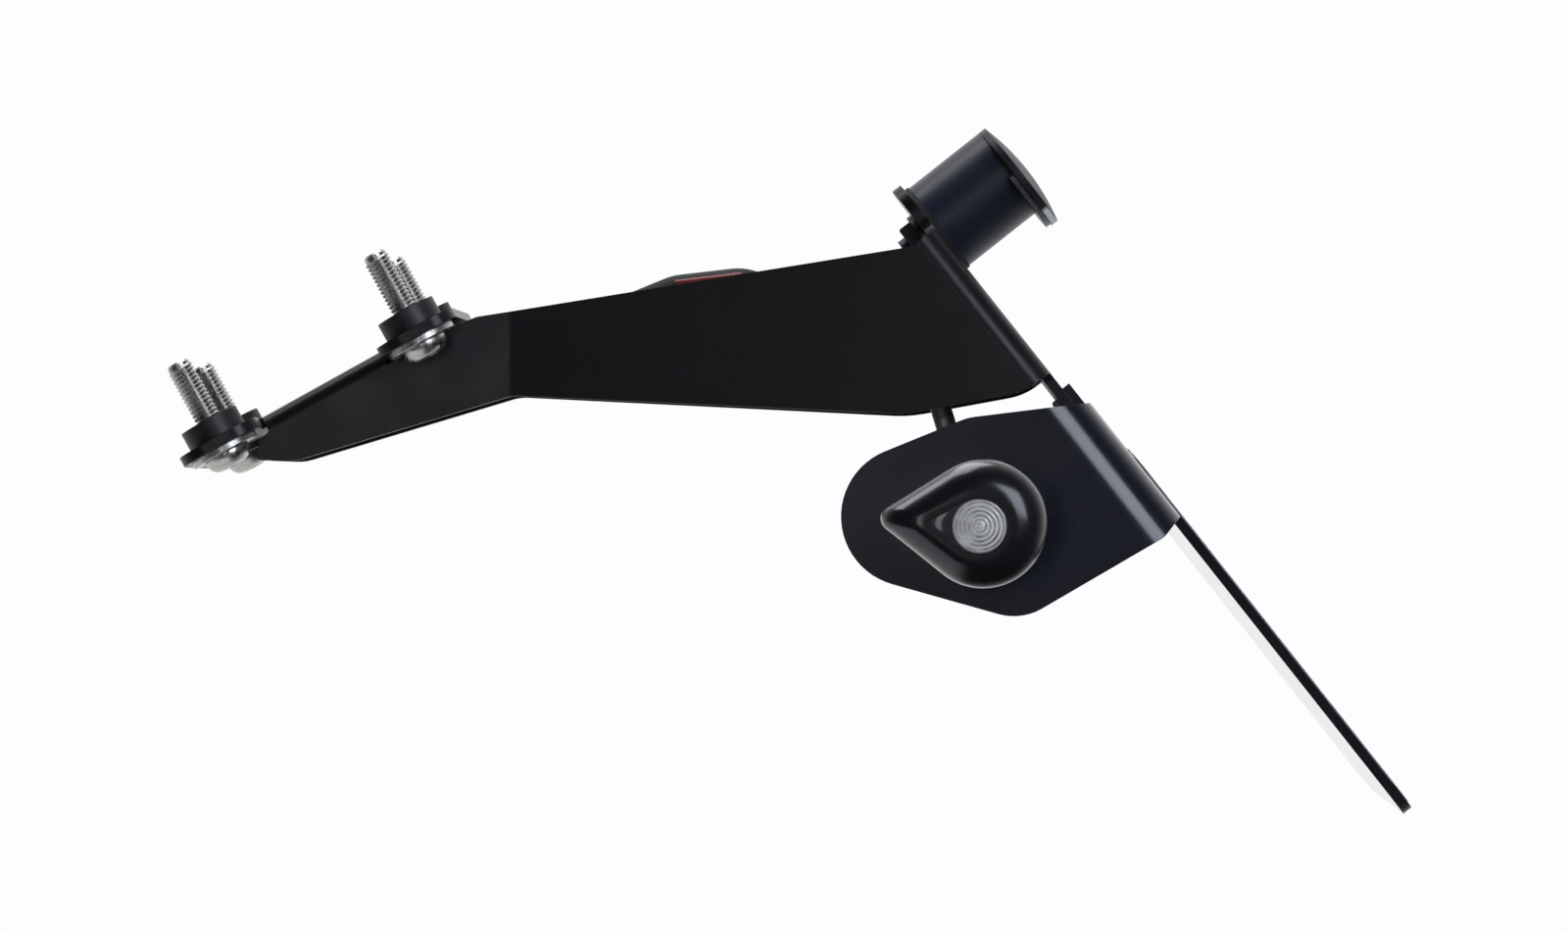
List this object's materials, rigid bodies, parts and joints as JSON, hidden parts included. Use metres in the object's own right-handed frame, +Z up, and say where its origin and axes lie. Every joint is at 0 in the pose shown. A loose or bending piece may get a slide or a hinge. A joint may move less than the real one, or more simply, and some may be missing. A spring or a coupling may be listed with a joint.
{
  "type": "tail tidy",
  "caption": "Motorbike tail tidy: folded black bracket with a sloped bolt-on front, number plate lamp, blank plate and an indicator on a folded wing at each side.",
  "frame": {"origin": "centre of the square of mounting bolts, on the plane of the spacer tops that meets the bike", "axes": "+X to the rear of the bike, +Y to its right, +Z up as fitted"},
  "size_m": [0.3611, 0.33, 0.1994],
  "materials": {
    "main_bracket": "satin black powder coat",
    "mounting_bolts": "stainless button head",
    "mounting_washers": "stainless",
    "mounting_spacers": "black anodised look",
    "indicator_bracket": "semi-gloss black powder coat",
    "bracket_studs": "zinc plated thread",
    "bracket_washers": "black zinc",
    "bracket_nuts": "black zinc",
    "number_plate": "black acrylic backing",
    "plate_face": "blank reflective sheet",
    "plate_screws": "stainless countersunk",
    "plate_washers": "black zinc",
    "plate_nuts": "black zinc",
    "lamp_gasket": "soft rubber",
    "lamp_housing": "moulded black",
    "lamp_hood": "moulded black",
    "lamp_lens": "clear moulded lens",
    "lamp_chips": "light emitting chips",
    "lamp_washer": "zinc plated",
    "lamp_nut": "zinc plated",
    "lamp_lead": "black cable sheath",
    "loom": "black woven sleeve",
    "loom_sleeve": "heat shrink",
    "loom_plug": "moulded connector",
    "loom_clip": "rubber lined clip",
    "clip_screw": "zinc plated",
    "clip_nut": "zinc plated",
    "red_wire": "red wire sheath",
    "left_indicator_housing": "moulded black, rounded rim",
    "left_indicator_lens": "clear ribbed lens",
    "left_indicator_window": "clear window",
    "left_indicator_reflector": "metallised",
    "left_indicator_bulb_holder": "moulded socket",
    "left_indicator_bulb": "amber bulb",
    "left_indicator_boot": "soft rubber",
    "left_indicator_washer": "zinc plated",
    "left_indicator_nut": "zinc plated",
    "left_indicator_lead": "black cable sheath",
    "right_indicator_housing": "moulded black, rounded rim",
    "right_indicator_lens": "clear ribbed lens",
    "right_indicator_window": "clear window",
    "right_indicator_reflector": "metallised",
    "right_indicator_bulb_holder": "moulded socket",
    "right_indicator_bulb": "amber bulb",
    "right_indicator_boot": "soft rubber",
    "right_indicator_washer": "zinc plated",
    "right_indicator_nut": "zinc plated",
    "right_indicator_lead": "black cable sheath"
  },
  "bodies": {
    "root": {"main_bracket": "main_bracket", "mounting_bolts": "mounting_bolts", "mounting_washers": "mounting_washers", "mounting_spacers": "mounting_spacers", "indicator_bracket": "indicator_bracket", "bracket_studs": "bracket_studs", "bracket_washers": "bracket_washers", "bracket_nuts": "bracket_nuts", "number_plate": "number_plate", "plate_face": "plate_face", "plate_screws": "plate_screws", "plate_washers": "plate_washers", "plate_nuts": "plate_nuts", "lamp_gasket": "lamp_gasket", "lamp_housing": "lamp_housing", "lamp_hood": "lamp_hood", "lamp_lens": "lamp_lens", "lamp_chips": "lamp_chips", "lamp_washer": "lamp_washer", "lamp_nut": "lamp_nut", "lamp_lead": "lamp_lead", "loom": "loom", "loom_sleeve": "loom_sleeve", "loom_plug": "loom_plug", "loom_clip": "loom_clip", "clip_screw": "clip_screw", "clip_nut": "clip_nut", "red_wire": "red_wire", "left_indicator_housing": "left_indicator_housing", "left_indicator_lens": "left_indicator_lens", "left_indicator_window": "left_indicator_window", "left_indicator_reflector": "left_indicator_reflector", "left_indicator_bulb_holder": "left_indicator_bulb_holder", "left_indicator_bulb": "left_indicator_bulb", "left_indicator_boot": "left_indicator_boot", "left_indicator_washer": "left_indicator_washer", "left_indicator_nut": "left_indicator_nut", "left_indicator_lead": "left_indicator_lead", "right_indicator_housing": "right_indicator_housing", "right_indicator_lens": "right_indicator_lens", "right_indicator_window": "right_indicator_window", "right_indicator_reflector": "right_indicator_reflector", "right_indicator_bulb_holder": "right_indicator_bulb_holder", "right_indicator_bulb": "right_indicator_bulb", "right_indicator_boot": "right_indicator_boot", "right_indicator_washer": "right_indicator_washer", "right_indicator_nut": "right_indicator_nut", "right_indicator_lead": "right_indicator_lead"}
  },
  "joints": []
}
